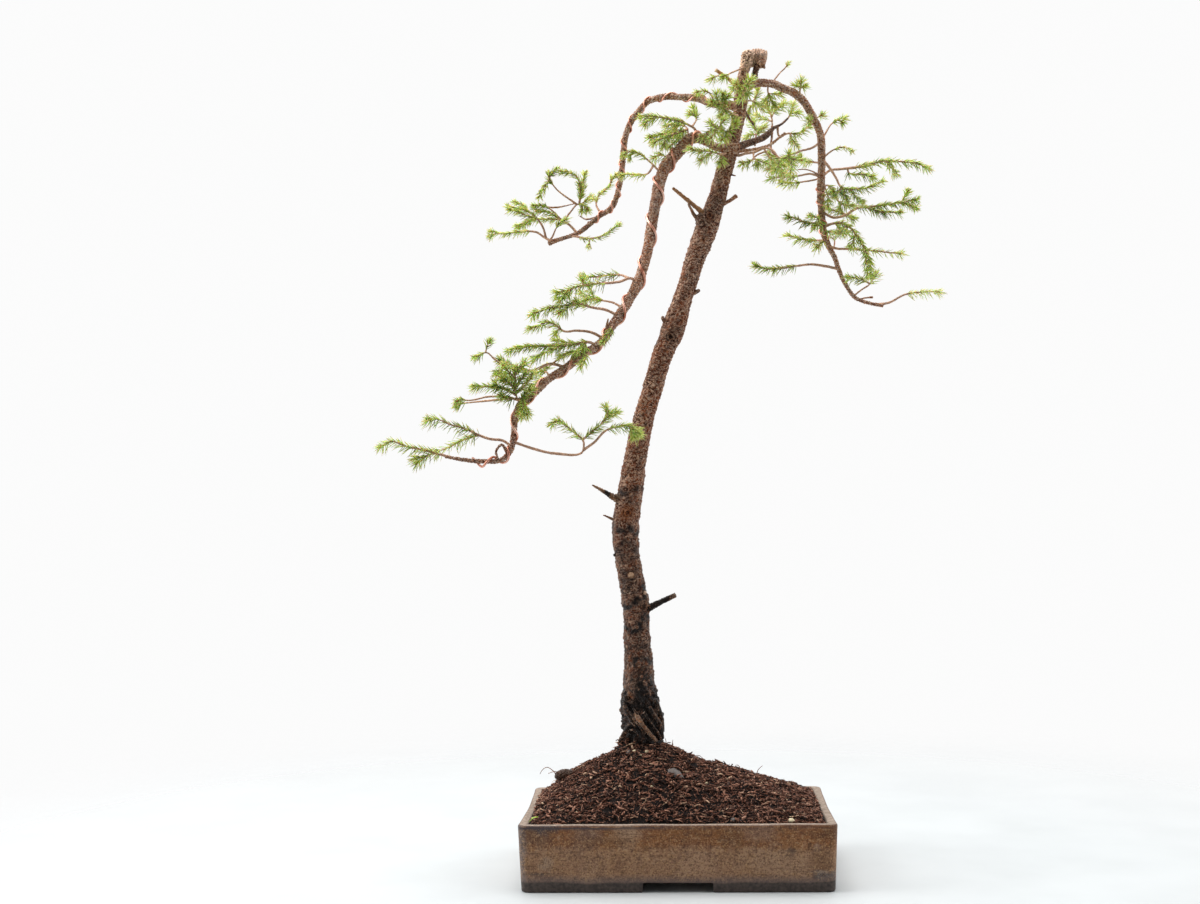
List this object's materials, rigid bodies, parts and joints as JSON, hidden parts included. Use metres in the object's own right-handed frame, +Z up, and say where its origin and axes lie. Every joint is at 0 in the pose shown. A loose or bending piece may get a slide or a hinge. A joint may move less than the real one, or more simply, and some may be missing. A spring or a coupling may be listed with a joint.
{
  "type": "spruce bonsai in pot",
  "caption": "Young spruce trained as a bonsai, with wired drooping branches and sprays of needles, on a soil mound in a shallow glazed rectangular pot.",
  "frame": {"origin": "on the ground under the middle of the pot", "axes": "+Z up along the trunk, -Y towards the viewer of the tree's front, +X to that viewer's right"},
  "size_m": [0.6535, 0.245, 0.963],
  "materials": {
    "glazed_pot": "satin",
    "drain_screen": "matte",
    "soil": "matte",
    "bark": "matte",
    "copper": "satin",
    "needles": "satin"
  },
  "bodies": {
    "root": {"pot": "glazed_pot", "drain_screen_left": "drain_screen", "drain_screen_right": "drain_screen", "soil": "soil", "trunk_and_branches": "bark", "copper_wire_lower_left": "copper", "copper_wire_upper_left": "copper", "copper_wire_right": "copper", "spray_lower_left_tip": "needles", "spray_lower_left_fork": "needles", "spray_lower_left_inner": "needles", "spray_lower_left_pair": "needles", "spray_lower_left_star": "needles", "spray_lower_left_cluster": "needles", "spray_lower_left_ridge": "needles", "spray_lower_left_long": "needles", "spray_lower_left_over": "needles", "spray_lower_left_under": "needles", "spray_lower_left_knob": "needles", "spray_lower_left_mid": "needles", "spray_lower_left_back": "needles", "spray_lower_left_high": "needles", "spray_upper_left_tip": "needles", "spray_upper_left_crown": "needles", "spray_upper_left_inner": "needles", "spray_upper_left_under": "needles", "spray_middle_low": "needles", "spray_middle_short": "needles", "spray_middle_high": "needles", "spray_middle_dense": "needles", "spray_front_high": "needles", "spray_front_low": "needles", "spray_upper_left_first": "needles", "spray_middle_skirt": "needles", "spray_top_tuft": "needles", "spray_top_right_sprig": "needles", "spray_back_right_end": "needles", "spray_back_right_rise": "needles", "spray_back_right_near": "needles", "spray_top_right_under": "needles", "spray_trunk_right": "needles", "spray_front_right": "needles", "spray_right_inward": "needles", "spray_right_cross": "needles", "spray_right_back": "needles", "spray_right_arch_star": "needles", "spray_right_arch_tuft": "needles", "spray_right_high": "needles", "spray_right_mid_sprig": "needles", "spray_right_long": "needles", "spray_right_drop": "needles", "spray_right_fill": "needles", "spray_right_fan": "needles", "spray_right_hanging": "needles", "spray_right_bare_bend": "needles", "spray_right_left_upper": "needles", "spray_right_left_lower": "needles", "spray_right_left_long": "needles", "spray_right_low": "needles", "spray_right_tip": "needles"}
  },
  "joints": []
}
